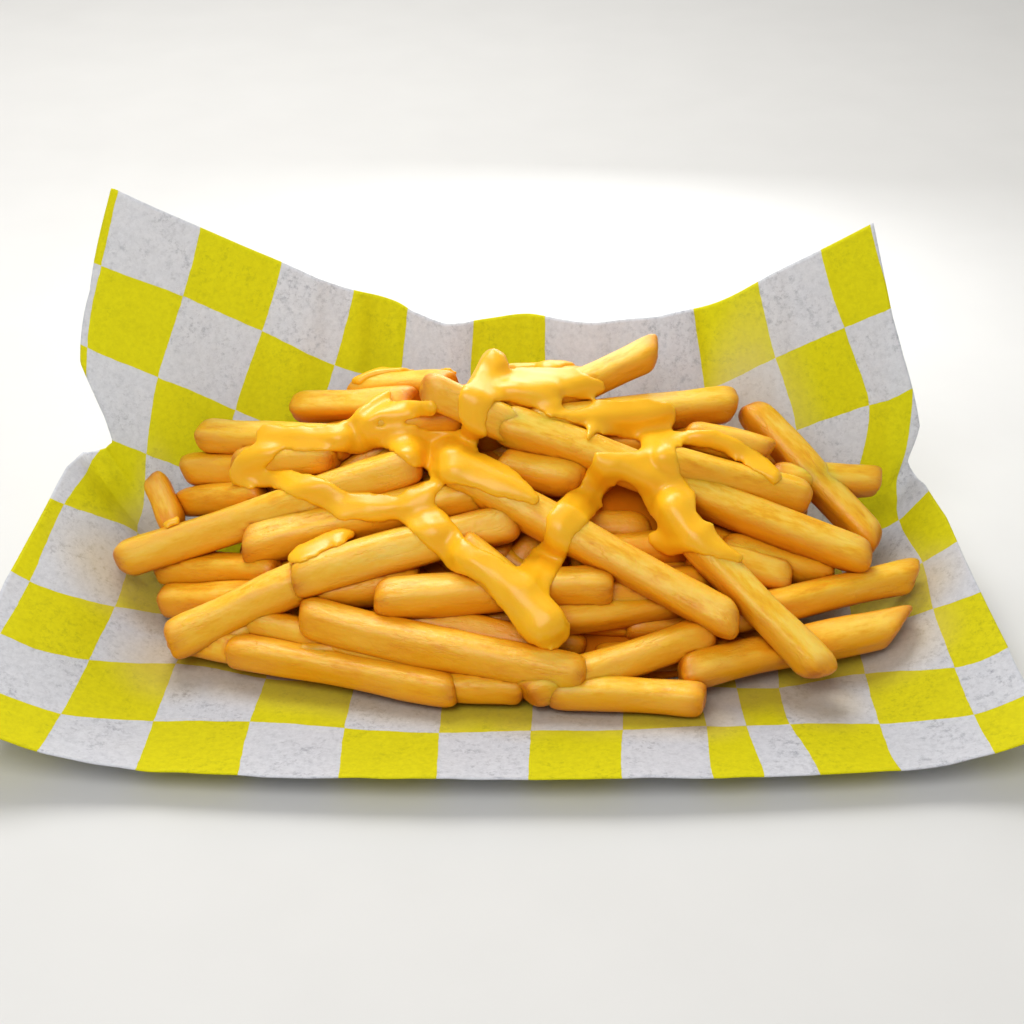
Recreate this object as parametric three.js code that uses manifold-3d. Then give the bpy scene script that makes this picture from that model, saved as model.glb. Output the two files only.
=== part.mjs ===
import * as THREE from 'three';
import { mergeVertices } from 'three/addons/utils/BufferGeometryUtils.js';
import Module from 'manifold-3d';

// French fries with cheese sauce, lying in a checked paper sheet.
// Millimetres, +Z up, front edge of the sheet towards -Y. The sheet's flat middle rests on Z = 0.

// Paper sheet: thickness and the places of its three ribs, counted in printed checks
const CHECK = 24;
const PAPER_THICK = 0.8;
const FRONT_Y = -76.5;
const FRONT_BOW = 7.5;
const FRONT_LIFT = 8;
const FOOT_Y = 52;
const BACK_Y = 72;
const WALL_HEIGHT = 64;
const LEFT_EAR_RISE = 47;
const RIGHT_EAR_RISE = 35;
const WAVE_DEPTH = 2.6;
const WAVE_PACE = 6.6;
// The sheet's side edges: share of the way from the front edge to the top, and checks from the middle.
// Both step in where the ears fold up from the floor, and the ears are narrower at the top
const LEFT_EDGE = [
  [0, -6.15], [0.27, -6.45], [0.5, -6.55], [0.56, -6.4], [0.625, -5.7], [0.66, -5.78], [0.73, -6.1], [0.85, -5.95], [1, -6.02],
];
const RIGHT_EDGE = [[0, 5.75], [0.46, 5.85], [0.54, 5.75], [0.6, 5.52], [0.65, 5.66], [0.78, 5.3], [0.85, 5.14], [1, 4.9]];
const SHEET_COLUMNS = 28;
const SHEET_ROWS = 24;

// The heap: a mound under the showing fries
const GAP = 0.4;
const MOUND_HEIGHT = 49;
const MOUND_HALF_WIDTH = 106;
const MOUND_FRONT = -35;
const MOUND_CREST = 27;
const MOUND_BACK = 45;
const MOUND_RIM_HALF = 82;
const MOUND_RIM_FRONT = 40;
const MOUND_RIM_BACK = 35;
const MOUND_RIM_POWER = 0.8;
const MOUND_MIDDLE = 8;
const MOUND_LIP = 1.5;
const MOUND_BASE_BACK = 16;
const MOUND_SEGMENTS = 24;
const MOUND_RINGS = 5;

// A fry's section is a rounded square of this many sides, a little swollen and bent
const FRY_SIDES = 8;
const FRY_STEPS = [0, 0.04, 0.5, 0.96, 1];
const END_SIZE = 0.72;
const BEND = 0.022;
const SAUCE_SIDES = 6;
const SAUCE_STEP = 12;
const SAUCE_THICK = 4.6;

// The assembled part is centred on its own box
const CENTRE = new THREE.Vector3(2.4, 1, 0);

// The fries that show, lowest first: left end x y z, right end x y z, thickness
const FRIES = [
  [-101, 0, 9, -66, -12, 18, 9.4], [-80, -20, 9, -60, -8, 14, 9], [-79, -22, 8, -15, -39, 7, 9.4],
  [-77, -14, 13, -16, -32, 10, 9.4], [10, -40, 7, 52, -43, 7, 9], [-20, -37, 7, 4, -38, 6.5, 8.6],
  [3, -41, 7.5, 56, -22, 15, 9.9], [46, -34, 8.5, 110.5, -13, 9.8, 10.2], [60, -19, 16.5, 117, 4, 15.5, 9.2],
  [-104, 10, 13, -66, -4, 22, 9.4], [-99, 30, 23, -72, 18, 34, 9], [-107, 31, 32, -99, 18, 21, 8],
  [76, 28, 33, 110, 33, 29, 9.2], [-30, -18, 16, 8, -26, 13, 8.8], [8, -21, 17, 48, -13, 18, 9.5],
  [24, -14, 21, 56, -8, 22, 9.5], [-56, -12, 20, -26, -10, 23, 9.5], [50, -3, 27, 79, -4, 19, 10.6],
  [16, -5, 27, 53, 1, 28, 9.6], [58, 1, 26, 92, 3, 17, 9.8], [-28, 7, 36, 6, 10, 40, 9.7],
  [14, 10, 29, 40, 9, 27, 9.6], [-96, -20, 9, -54, -10, 25, 11.2], [-59, -19, 18, 20, -38, 11, 11.3],
  [-38, -19, 23, 28, -15, 25, 11], [-80, 27, 40, -50, 20, 45, 9.5], [-99, 38, 30, -56, 21, 41, 10],
  [-4, 15, 46, 20, 11, 43, 10.8], [-61, -13, 25, 2, 0, 37, 11.8], [-76, 1, 27, -4, 7, 43, 11],
  [20, 20, 45, 56, 16, 38, 9.7], [40, 14, 48, 86, 17, 33, 10.4], [50, 27, 49, 75, 26, 43, 9.4],
  [71, 49, 46, 107, 14, 18.5, 10], [-66, 49, 45, -28, 36, 54, 9.4], [-93.5, 40, 41, -46, 23, 48, 10],
  [-115, 8, 17, -26, 13, 47.3, 11.4], [-44, 26, 51.5, -12, 27, 55, 9.6], [-48, 52, 50, -18, 38, 58.5, 8.6],
  [4, 20, 56, 67, 48, 47, 10.6], [-12, 45, 55.5, 22, 46, 56, 9], [-15, 28, 60, 14, 28, 60, 9],
  [-14, -9, 34, 12, -31, 20, 11.3], [-20, 10, 48, 62, -27, 20, 11], [4, 26, 57, 43, 50, 64.5, 9.2],
  [-12, 27, 57, -3, 43, 66, 9], [43, 2, 41, 85, -36, 10, 9.6], [-26, 26, 65.5, 6, 18.5, 53.2, 10.6],
  [-4, 20, 57, 102, 1, 22.5, 10.8],
];

// Fries on the far side, laid by a rule: their number and how they lie
const BACK_FRIES = 7;
const BACK_LENGTH = 44;
const BACK_THICK = 9.6;

// Strands of thick cheese sauce over the heap, seen from above: x, y and width at each point
const STRANDS = [
  [[-71, 25, 9], [-49, 19, 9], [-32, 14, 11], [-21, 8, 14], [-10, 6, 12]],
  [[-54, 24, 6], [-43, 23, 6], [-38, 36, 6]],
  [[-43, 23, 6], [-27, 22, 7]],
  [[-70, 24, 8], [-77, 22, 8], [-81, 21, 8]],
  [[-81, 21, 7], [-66, 11, 7], [-52, 7, 9], [-37, 1, 10], [-20, -8, 12], [-8, -18, 11], [5, -26, 13], [8, -30, 10]],
  [[-61, -12, 7], [-46, -4, 7]],
  [[26, 12, 11], [22, 5, 10], [14, -9, 9], [10, -16, 9], [5, -26, 10]],
  [[-8, 20, 9], [-12, 17, 9], [-17, 12, 9]],
  [[-9, 21, 9], [13, 25, 10]],
  [[-1, 29, 9], [12, 34, 9], [25, 34, 9]],
  [[7, 17, 12], [25, 25, 13], [46, 33, 12]],
  [[25, 12, 11], [34, 22, 11], [43, 31, 10]],
  [[34, 16, 7], [54, 21, 7], [75, 16, 7]],
  [[30, 11, 11], [40, -2, 12], [49, -11, 11], [63, -16, 8]],
  [[36, 9, 9], [53, 5, 10]],
  [[24, 1, 7], [44, -7, 7]],
  [[-20, 5, 10], [-6, -1, 11], [8, -8, 9]],
  [[-17, 24, 8], [-4, 36, 8]],
  [[-46, 48, 8], [-30, 36, 8], [-18, 24, 8]],
];

const wasm = await Module();
wasm.setup();

const mix = (a, b, t) => a + (b - a) * t;
const clamp = (v, lo, hi) => Math.min(hi, Math.max(lo, v));
const smooth = (v, lo, hi) => THREE.MathUtils.smoothstep(v, lo, hi);

// A repeatable draw between 0 and 1 for each pair of whole numbers
function draw(i, k) {
  const s = Math.sin(i * 12.9898 + k * 78.233) * 43758.5453;
  return s - Math.floor(s);
}

// The sheet's three ribs at a place across it, in checks from the middle:
// the raised front edge, the foot of the back wall, and the top edge with its two ears
function ribs(across) {
  const away = Math.abs(across);
  const frontX = CHECK * across + 3 - 1.5 * Math.max(0, across - 5);
  const front = new THREE.Vector3(
    frontX,
    FRONT_Y + FRONT_BOW * (frontX / 130) ** 2,
    FRONT_LIFT + 4.6 * Math.max(0, away - 4) ** 1.6,
  );
  const beyond = Math.max(0, away - 5);
  const fourth = clamp(away - 4, 0, 1);
  const foot = new THREE.Vector3(
    Math.sign(across) * (23.2 * Math.min(away, 4) + 21 * fourth + 11 * beyond) + 2,
    FOOT_Y - 14 * smooth(away, 1.5, 4.2) + 9 * beyond,
    15 * fourth ** 1.4 + 15 * beyond,
  );
  const topX = 20.6 * across + 9 - 5 * Math.max(0, across - 4);
  const leftEar = LEFT_EAR_RISE * Math.max(0, (-topX - 20) / 95) ** 1.25;
  const rightEar = RIGHT_EAR_RISE * Math.max(0, (topX - 45) / 60) ** 1.2;
  const top = new THREE.Vector3(topX, BACK_Y - 10 * (topX / 110) ** 2, WALL_HEIGHT + leftEar + rightEar);
  return { front, foot, top, away };
}

// A point of the sheet's underside: across in checks, along from 0 at the front edge to 1 at the top
function sheetPoint(across, along) {
  const { front, foot, top, away } = ribs(across);
  const floorLength = front.distanceTo(foot);
  const wallLength = foot.distanceTo(top);
  const bend = 22 - 19 * smooth(away, 3.6, 5.2);
  const s = along * (floorLength + wallLength);
  const alongFloor = foot.clone().sub(front).normalize();
  const alongWall = top.clone().sub(foot).normalize();
  const p = new THREE.Vector3();
  if (s < floorLength - bend) {
    p.copy(front).addScaledVector(alongFloor, s);
  } else if (s > floorLength + bend) {
    p.copy(foot).addScaledVector(alongWall, s - floorLength);
  } else {
    const t = (s - floorLength + bend) / (2 * bend);
    p.copy(foot).addScaledVector(alongFloor, -bend * (1 - t) ** 2).addScaledVector(alongWall, bend * t ** 2);
  }
  // The straight line from the raised edge to the foot sags onto the table
  const onFloor = clamp(s / floorLength, 0, 1);
  const nearFront = clamp((-30 - p.y) / 46, 0, 1);
  const straight = mix(front.z, foot.z, onFloor);
  const sagged = front.z * nearFront ** 1.6 + foot.z * onFloor ** 1.5;
  const side = 5.6 * Math.max(0, away - 4) ** 1.7 * (1 - nearFront) * (1 - onFloor);
  const held = clamp(1 - (s - floorLength + bend) / (2 * bend), 0, 1);
  p.z += (sagged + side - straight) * held;
  // The ears belly outwards half way up, and the wall between them has soft upright waves
  const up = clamp((s - floorLength) / wallLength, 0, 1);
  const belly = Math.sin(Math.PI * up) * smooth(away, 4.8, 6);
  p.x += across < 0 ? -8 * belly : 2.5 * belly;
  const waved = up * (1 - smooth(away, 2.2, 4));
  p.y += WAVE_DEPTH * waved * Math.sin(p.x / WAVE_PACE + 1);
  return p;
}

// A thin shell between two faces of the same grid, both split into triangles alike
function shell(columns, rows, point, thick) {
  const grid = [];
  for (let r = 0; r <= rows; r += 1) {
    for (let c = 0; c <= columns; c += 1) grid.push(point(c / columns, r / rows));
  }
  const at = (c, r) => grid[clamp(r, 0, rows) * (columns + 1) + clamp(c, 0, columns)];
  const positions = [];
  const push = (p) => positions.push(p.x, p.y, p.z);
  for (const lift of [0, thick]) {
    for (let r = 0; r <= rows; r += 1) {
      for (let c = 0; c <= columns; c += 1) {
        const acrossWay = at(c + 1, r).clone().sub(at(c - 1, r));
        const alongWay = at(c, r + 1).clone().sub(at(c, r - 1));
        push(at(c, r).clone().addScaledVector(acrossWay.cross(alongWay).normalize(), lift));
      }
    }
  }
  const size = (columns + 1) * (rows + 1);
  const id = (c, r, upper) => upper * size + r * (columns + 1) + c;
  const index = [];
  for (let r = 0; r < rows; r += 1) {
    for (let c = 0; c < columns; c += 1) {
      const [a, b, d, e] = [id(c, r, 0), id(c + 1, r, 0), id(c + 1, r + 1, 0), id(c, r + 1, 0)];
      index.push(a, d, b, a, e, d);
      index.push(a + size, b + size, d + size, a + size, d + size, e + size);
    }
  }
  const rim = [];
  for (let c = 0; c < columns; c += 1) rim.push([c, 0]);
  for (let r = 0; r < rows; r += 1) rim.push([columns, r]);
  for (let c = columns; c > 0; c -= 1) rim.push([c, rows]);
  for (let r = rows; r > 0; r -= 1) rim.push([0, r]);
  rim.forEach(([c, r], i) => {
    const [c2, r2] = rim[(i + 1) % rim.length];
    const [a, b] = [id(c, r, 0), id(c2, r2, 0)];
    index.push(a, b, b + size, a, b + size, a + size);
  });
  const geometry = new THREE.BufferGeometry();
  geometry.setAttribute('position', new THREE.Float32BufferAttribute(positions, 3));
  geometry.setIndex(index);
  return geometry;
}

// How far across a side edge lies at a share of the way along the sheet
function edgeAt(edge, along) {
  const k = clamp(edge.findIndex(([stop]) => stop >= along), 1, edge.length - 1);
  const [[from, a], [to, b]] = [edge[k - 1], edge[k]];
  return mix(a, b, (along - from) / (to - from));
}

function paperGeometry() {
  return shell(
    SHEET_COLUMNS,
    SHEET_ROWS,
    (u, v) => sheetPoint(mix(edgeAt(LEFT_EDGE, v), edgeAt(RIGHT_EDGE, v), u), v),
    PAPER_THICK,
  );
}

// A closed skin over rings of points, all with the same number of points
function loft(rings) {
  const sides = rings[0].length;
  const positions = [];
  rings.forEach((ring) => ring.forEach((p) => positions.push(p.x, p.y, p.z)));
  const index = [];
  for (let k = 0; k < rings.length - 1; k += 1) {
    for (let i = 0; i < sides; i += 1) {
      const [a, b] = [k * sides + i, k * sides + ((i + 1) % sides)];
      index.push(a, b, b + sides, a, b + sides, a + sides);
    }
  }
  const last = (rings.length - 1) * sides;
  for (let i = 1; i < sides - 1; i += 1) {
    index.push(0, i + 1, i);
    index.push(last, last + i, last + i + 1);
  }
  const geometry = new THREE.BufferGeometry();
  geometry.setAttribute('position', new THREE.Float32BufferAttribute(positions, 3));
  geometry.setIndex(index);
  return geometry;
}

// Height of the mound that fills the heap under the fries
function moundHeight(x, y) {
  const height = MOUND_HEIGHT * Math.max(0, 1 - Math.abs(x / MOUND_HALF_WIDTH) ** 3);
  const front = MOUND_FRONT + 20 * Math.abs(x / MOUND_HALF_WIDTH) ** 2.5;
  if (y < MOUND_CREST) return height * clamp((y - front) / (MOUND_CREST - front), 0, 1);
  return height * (1 - 0.3 * ((y - MOUND_CREST) / (MOUND_BACK - MOUND_CREST)) ** 2);
}

function moundGeometry() {
  const rounded = (v) => Math.sign(v) * Math.abs(v) ** MOUND_RIM_POWER;
  const base = PAPER_THICK + GAP;
  const rings = [];
  for (let k = 0; k <= MOUND_RINGS; k += 1) {
    const spread = 1 - k / (MOUND_RINGS + 1);
    const ring = [];
    for (let i = 0; i < MOUND_SEGMENTS; i += 1) {
      const a = (i / MOUND_SEGMENTS) * 2 * Math.PI;
      const reach = Math.sin(a) > 0 ? MOUND_RIM_BACK : MOUND_RIM_FRONT;
      const x = MOUND_RIM_HALF * rounded(Math.cos(a)) * spread;
      const y = MOUND_MIDDLE + reach * rounded(Math.sin(a)) * spread;
      ring.push(new THREE.Vector3(x, y, Math.max(base + MOUND_LIP, moundHeight(x, y))));
    }
    if (k === 0) rings.push(ring.map((p) => new THREE.Vector3(p.x, Math.min(p.y, MOUND_BASE_BACK), base)));
    rings.push(ring);
  }
  return loft(rings);
}

// A fry from one end to the other, as number i of the heap
function fryGeometry([ax, ay, az, bx, by, bz, thick], i) {
  const start = new THREE.Vector3(ax, ay, az);
  const end = new THREE.Vector3(bx, by, bz);
  const way = end.clone().sub(start);
  const length = way.length();
  way.normalize();
  const sideways = new THREE.Vector3(0, 0, 1).cross(way).normalize();
  const upwards = way.clone().cross(sideways);
  const turn = (draw(i, 1) - 0.5) * 1.1;
  const bow = length * BEND * (draw(i, 2) - 0.5) * 2;
  const swell = 1 + 0.06 * (draw(i, 3) - 0.5);
  const rings = FRY_STEPS.map((t, k) => {
    const middle = start.clone().addScaledVector(way, length * t);
    middle.addScaledVector(sideways, bow * Math.sin(Math.PI * t));
    const isEnd = k === 0 || k === FRY_STEPS.length - 1;
    const half = (thick / 2) * swell * (isEnd ? END_SIZE : 1);
    const slant = isEnd ? (draw(i, 4 + k) - 0.5) * 0.7 : 0;
    const ring = [];
    for (let j = 0; j < FRY_SIDES; j += 1) {
      const a = ((j + 0.5) / FRY_SIDES) * 2 * Math.PI + turn;
      const u = Math.cos(a) * half * 1.06;
      const v = Math.sin(a) * half * 1.06;
      const p = middle.clone().addScaledVector(sideways, u).addScaledVector(upwards, v);
      ring.push(p.addScaledVector(way, u * slant));
    }
    return ring;
  });
  return loft(rings);
}

// The far side's fries lie on the mound at many angles
function backFries() {
  const list = [];
  for (let i = 0; i < BACK_FRIES; i += 1) {
    const x = mix(-60, 62, i / (BACK_FRIES - 1));
    const y = 37 + 3 * draw(i, 21);
    const turn = (draw(i, 22) - 0.5) * 0.7;
    const half = (BACK_LENGTH / 2) * mix(0.8, 1.1, draw(i, 23));
    const z = moundHeight(x, y) + mix(1, 5, draw(i, 24));
    const [dx, dy] = [Math.cos(turn) * half, Math.sin(turn) * half * 0.6];
    const drop = 5 * (x / 80);
    list.push([x - dx, y - dy, z + drop, x + dx, y + dy, z - drop, BACK_THICK]);
  }
  return list;
}

// Height of the heap's top under a point, from the fries and the mound
function heapTop(x, y, fries) {
  let best = moundHeight(x, y);
  for (const [ax, ay, az, bx, by, bz, thick] of fries) {
    const [wx, wy] = [bx - ax, by - ay];
    const t = clamp(((x - ax) * wx + (y - ay) * wy) / (wx * wx + wy * wy), 0, 1);
    const off = Math.hypot(x - ax - wx * t, y - ay - wy * t);
    const r = thick / 2;
    if (off < r) best = Math.max(best, mix(az, bz, t) + Math.sqrt(r * r - off * off));
  }
  return best;
}

// A flat-bottomed rope of sauce that follows the tops of what it lies on
function strandGeometry(points, fries) {
  const curve = new THREE.CatmullRomCurve3(points.map(([x, y, w]) => new THREE.Vector3(x, y, w)));
  const steps = Math.max(3, Math.round(curve.getLength() / SAUCE_STEP));
  const places = curve.getPoints(steps);
  const heights = places.map((p) => heapTop(p.x, p.y, fries));
  const rings = places.map((p, k) => {
    const before = heights[Math.max(0, k - 1)];
    const after = heights[Math.min(steps, k + 1)];
    const height = Math.max(heights[k] * 0.5 + (before + after) * 0.25, heights[k] - 1);
    const far = places[Math.min(steps, k + 1)];
    const near = places[Math.max(0, k - 1)];
    const way = new THREE.Vector2(far.x - near.x, far.y - near.y).normalize();
    const isEnd = k === 0 || k === steps;
    const half = (p.z / 2) * (isEnd ? 0.6 : 1);
    const ring = [];
    for (let j = 0; j < SAUCE_SIDES; j += 1) {
      const a = ((j + 0.5) / SAUCE_SIDES) * 2 * Math.PI;
      const u = Math.cos(a) * half;
      const v = Math.sin(a) * (SAUCE_THICK / 2) * (isEnd ? 0.7 : 1);
      ring.push(new THREE.Vector3(p.x - way.y * u, p.y + way.x * u, height - 0.4 + v));
    }
    return ring;
  });
  return loft(rings);
}

function toSolid(geometry) {
  const merged = mergeVertices(geometry, 1e-5);
  return new wasm.Manifold(new wasm.Mesh({
    numProp: 3,
    vertProperties: new Float32Array(merged.attributes.position.array),
    triVerts: new Uint32Array(merged.index.array),
  }));
}

function toGeometry(solid) {
  const { vertProperties, triVerts } = solid.getMesh();
  const geometry = new THREE.BufferGeometry();
  geometry.setAttribute('position', new THREE.BufferAttribute(new Float32Array(vertProperties), 3));
  geometry.setIndex(new THREE.BufferAttribute(new Uint32Array(triVerts), 1));
  return geometry;
}

// Mound, fries and sauce fused to one body; hollows sealed by the fusing are filled
function heapGeometry() {
  const fries = [...backFries(), ...FRIES];
  let heap = toSolid(moundGeometry());
  fries.forEach((fry, i) => {
    heap = heap.add(toSolid(fryGeometry(fry, i)));
  });
  STRANDS.forEach((strand) => {
    heap = heap.add(toSolid(strandGeometry(strand, fries)));
  });
  const bodies = heap.decompose().sort((a, b) => b.volume() - a.volume());
  return toGeometry(bodies[0]);
}

function part(name, geometry, color, roughness) {
  geometry.computeVertexNormals();
  const material = new THREE.MeshStandardMaterial({ color, roughness, metalness: 0 });
  const mesh = new THREE.Mesh(geometry, material);
  mesh.name = name;
  mesh.position.copy(CENTRE);
  return mesh;
}

const group = new THREE.Group();
group.add(part('paper_sheet', paperGeometry(), 0xe3dc5a, 0.7));
group.add(part('fries_heap', heapGeometry(), 0xf0b23a, 0.5));

export default group;
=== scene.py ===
import math

import bpy
import numpy as np
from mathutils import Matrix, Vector
from mathutils.bvhtree import BVHTree


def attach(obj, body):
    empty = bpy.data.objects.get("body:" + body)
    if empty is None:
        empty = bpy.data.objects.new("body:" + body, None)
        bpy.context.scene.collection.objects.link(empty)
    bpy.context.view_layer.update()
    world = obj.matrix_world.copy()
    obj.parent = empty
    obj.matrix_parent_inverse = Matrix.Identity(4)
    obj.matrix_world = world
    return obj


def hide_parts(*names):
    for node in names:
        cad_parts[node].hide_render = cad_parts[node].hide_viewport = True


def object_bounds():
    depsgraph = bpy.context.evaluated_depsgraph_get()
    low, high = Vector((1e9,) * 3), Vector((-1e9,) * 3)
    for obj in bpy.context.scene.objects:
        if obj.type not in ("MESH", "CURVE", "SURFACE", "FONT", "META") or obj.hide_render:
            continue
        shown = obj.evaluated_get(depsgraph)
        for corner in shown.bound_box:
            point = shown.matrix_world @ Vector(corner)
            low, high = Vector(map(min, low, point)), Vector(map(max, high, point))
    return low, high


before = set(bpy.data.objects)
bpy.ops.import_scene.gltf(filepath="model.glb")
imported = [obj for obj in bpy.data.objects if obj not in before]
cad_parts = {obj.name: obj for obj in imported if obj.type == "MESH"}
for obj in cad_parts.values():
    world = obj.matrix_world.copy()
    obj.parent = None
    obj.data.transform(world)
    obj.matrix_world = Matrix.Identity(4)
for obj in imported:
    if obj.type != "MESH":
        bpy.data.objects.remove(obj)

cad_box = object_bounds()

MM = 0.001

# Sizes are in millimetres, except where a comment names another unit

# The sheet's ribs, counted in printed checks from the middle, as the solids have them
CHECK = 24
FRONT_Y = -76.5
FRONT_BOW = 7.5
FRONT_LIFT = 8
FOOT_Y = 52
BACK_Y = 72
WALL_HEIGHT = 64
LEFT_EAR_RISE = 47
RIGHT_EAR_RISE = 35
WAVE_DEPTH = 2.6
WAVE_PACE = 6.6
SIDES_FROM = 4
CORNERS_FROM = 5
FOOT_PITCH = 23.2
TOP_PITCH = 20.6
FLOOR_BEND = 22
CORNER_BEND = 3
PAPER_THICK = 0.3
PAPER_MIDDLE = 0.4
SHEET_COLUMNS = 270
SHEET_ROWS = 180
# Fries that come as low as this leave a grease stain on the paper, with painted warm bounce light beside
# them
OIL_AND_BOUNCE_BELOW = 22
# From the tables' origin to the part's
CENTRE = np.array([2.4, 1.0, 0.0])

# The side edges: share of the way from the front edge to the top, and checks from the middle
LEFT_EDGE = [
    (0, -6.15), (0.27, -6.45), (0.5, -6.55), (0.56, -6.4), (0.625, -5.7), (0.66, -5.78), (0.73, -6.1),
    (0.85, -5.95), (1, -6.02),
]
RIGHT_EDGE = [
    (0, 5.75), (0.46, 5.85), (0.54, 5.75), (0.6, 5.52), (0.65, 5.66), (0.78, 5.3), (0.85, 5.14),
    (1, 4.9),
]

# How far the print lies from an even grid, at places across (checks) and along (share):
# columns and rows to take away
PRINT_SHIFT = [
    (-5.17, 0.015, -0.17, 0.12), (-3.03, 0, -0.03, 0), (-1.96, 0, 0.04, 0), (-0.92, 0, 0.08, 0),
    (0.05, 0.012, 0.05, 0.09), (1.04, 0.01, 0.04, 0.08), (2, 0.03, 0.04, 0.23),
    (2.56, 0.027, 0.21, 0.21), (4, 0.035, 0, 0.28), (5.03, 0.037, 0.03, 0.29),
    (-5.16, 0.093, -0.16, -0.27), (-4.18, 0.128, -0.18, 0.04), (-3.08, 0.14, -0.08, 0.11),
    (-2, 0.132, 0, 0.03), (2.07, 0.137, 0.17, 0.05), (3.01, 0.132, 0.01, 0.03), (4.04, 0.123, 0.04, 0),
    (5.05, 0.095, 0.05, -0.26), (-6.18, 0.185, -0.18, -0.54), (-5.11, 0.217, -0.11, -0.31),
    (-4.14, 0.26, -0.14, 0.1), (-3.02, 0.242, -0.02, -0.08), (3.02, 0.223, 0.02, -0.25),
    (4.09, 0.237, 0.09, -0.09), (5.09, 0.198, 0.09, -0.45), (-6.2, 0.293, -0.2, -0.69),
    (-5.02, 0.333, -0.02, -0.39), (5.11, 0.32, 0.11, -0.5), (-6.31, 0.445, -0.31, -0.48),
    (-5.03, 0.498, -0.03, -0.1), (5.22, 0.413, 0.22, -0.77), (5.09, 0.518, 0.09, -0.96),
    (-5.11, 0.637, -0.11, 0.08), (-5.94, 0.762, 0.06, 0.08), (-5.08, 0.76, -0.08, 0.07),
    (-4.09, 0.763, -0.09, 0.03), (3.7, 0.743, 0.7, -0.11), (4.76, 0.733, 0.76, -0.17),
    (5.47, 0.722, 0.47, -0.24), (-5.87, 0.892, 0.13, 0.13), (-4.95, 0.892, 0.05, 0.13),
    (-3.89, 0.892, 0.11, 0.1), (2.47, 0.867, 0.47, -0.07), (3.41, 0.868, 0.41, -0.07),
    (4.4, 0.868, 0.4, -0.09), (5.15, 0.862, 0.15, -0.11), (-5.93, 1, 0.07, 0), (-4.88, 1, 0.12, 0),
    (-3.78, 1, 0.22, 0), (-2.78, 0.995, 0.22, 0), (-1.95, 1, 0.05, 0), (-1.02, 1, -0.02, 0),
    (0.09, 0.993, 0.09, 0), (1.2, 1, 0.2, 0), (2.29, 0.998, 0.29, 0), (3.14, 1, 0.14, 0),
    (4, 0.998, 0, 0),
]
# Rows of checks, a row's depth at the front and on the wall, and the pleat's column
PRINT_ROWS = 8
FRONT_ROW = 25.3
BACK_ROW = 24.6
PLEAT_COLUMN = 7

# Creases: from and to (checks across, share along), depth and half width in millimetres; below 0 is a crest
CREASES = [
    ((-6.45, 0.57), (-4.7, 0.505), 3.4, 9),
    ((-6.5, 0.515), (-5.9, 0.50), -2.0, 9),
    ((5.75, 0.60), (4.5, 0.565), 2.8, 8),
]

# The mound under the fries
MOUND_HEIGHT = 49
MOUND_HALF_WIDTH = 106
MOUND_FRONT = -35
MOUND_CREST = 27
MOUND_BACK = 45
MOUND_BASE = 1.3
CORE_HALF_WIDTH = 80
CORE_BACK = 33
CORE_FRONT = 38
CORE_MIDDLE = 8
CORE_BASE_BACK = 15
CORE_INSET = 3

# The fries that show, lowest first: left end x y z, right end x y z, thickness, in millimetres
FRIES = [
    (-101, 0, 9, -66, -12, 18, 9.4), (-80, -20, 9, -60, -8, 14, 9), (-79, -22, 8, -15, -39, 7, 9.4),
    (-77, -14, 13, -16, -32, 10, 9.4), (10, -40, 7, 52, -43, 7, 9), (-20, -37, 7, 4, -38, 6.5, 8.6),
    (3, -41, 7.5, 56, -22, 15, 9.9), (46, -34, 8.5, 110.5, -13, 9.8, 10.2),
    (60, -19, 16.5, 117, 4, 15.5, 9.2), (-104, 10, 13, -66, -4, 22, 9.4),
    (-99, 30, 23, -72, 18, 34, 9), (-107, 31, 32, -99, 18, 21, 8), (76, 28, 33, 110, 33, 29, 9.2),
    (-30, -18, 16, 8, -26, 13, 8.8), (8, -21, 17, 48, -13, 18, 9.5), (24, -14, 21, 56, -8, 22, 9.5),
    (-56, -12, 20, -26, -10, 23, 9.5), (50, -3, 27, 79, -4, 19, 10.6), (16, -5, 27, 53, 1, 28, 9.6),
    (58, 1, 26, 92, 3, 17, 9.8), (-28, 7, 36, 6, 10, 40, 9.7), (14, 10, 29, 40, 9, 27, 9.6),
    (-96, -20, 9, -54, -10, 25, 11.2), (-59, -19, 18, 20, -38, 11, 11.3),
    (-38, -19, 23, 28, -15, 25, 11), (-80, 27, 40, -50, 20, 45, 9.5), (-99, 38, 30, -56, 21, 41, 10),
    (-4, 15, 46, 20, 11, 43, 10.8), (-61, -13, 25, 2, 0, 37, 11.8), (-76, 1, 27, -4, 7, 43, 11),
    (20, 20, 45, 56, 16, 38, 9.7), (40, 14, 48, 86, 17, 33, 10.4), (50, 27, 49, 75, 26, 43, 9.4),
    (71, 49, 46, 107, 14, 18.5, 10), (-66, 49, 45, -28, 36, 54, 9.4), (-93.5, 40, 41, -46, 23, 48, 10),
    (-115, 8, 17, -26, 13, 47.3, 11.4), (-44, 26, 51.5, -12, 27, 55, 9.6),
    (-48, 52, 50, -18, 38, 58.5, 8.6), (4, 20, 56, 67, 48, 47, 10.6), (-12, 45, 55.5, 22, 46, 56, 9),
    (-15, 28, 60, 14, 28, 60, 9), (-14, -9, 34, 12, -31, 20, 11.3), (-20, 10, 48, 62, -27, 20, 11),
    (4, 26, 57, 43, 50, 64.5, 9.2), (-12, 27, 57, -3, 43, 66, 9), (43, 2, 41, 85, -36, 10, 9.6),
    (-26, 26, 65.5, 6, 18.5, 53.2, 10.6), (-4, 20, 57, 102, 1, 22.5, 10.8),
]
BACK_FRIES = 7
BACK_LENGTH = 44
BACK_THICK = 9.6
HIDDEN_FRIES = 46
# A section's power, where 2 is round, and its points, and the bow as a share of the length
FRY_CORNERS = 3.1
FRY_SIDES = 28
BEND = 0.022
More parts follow.
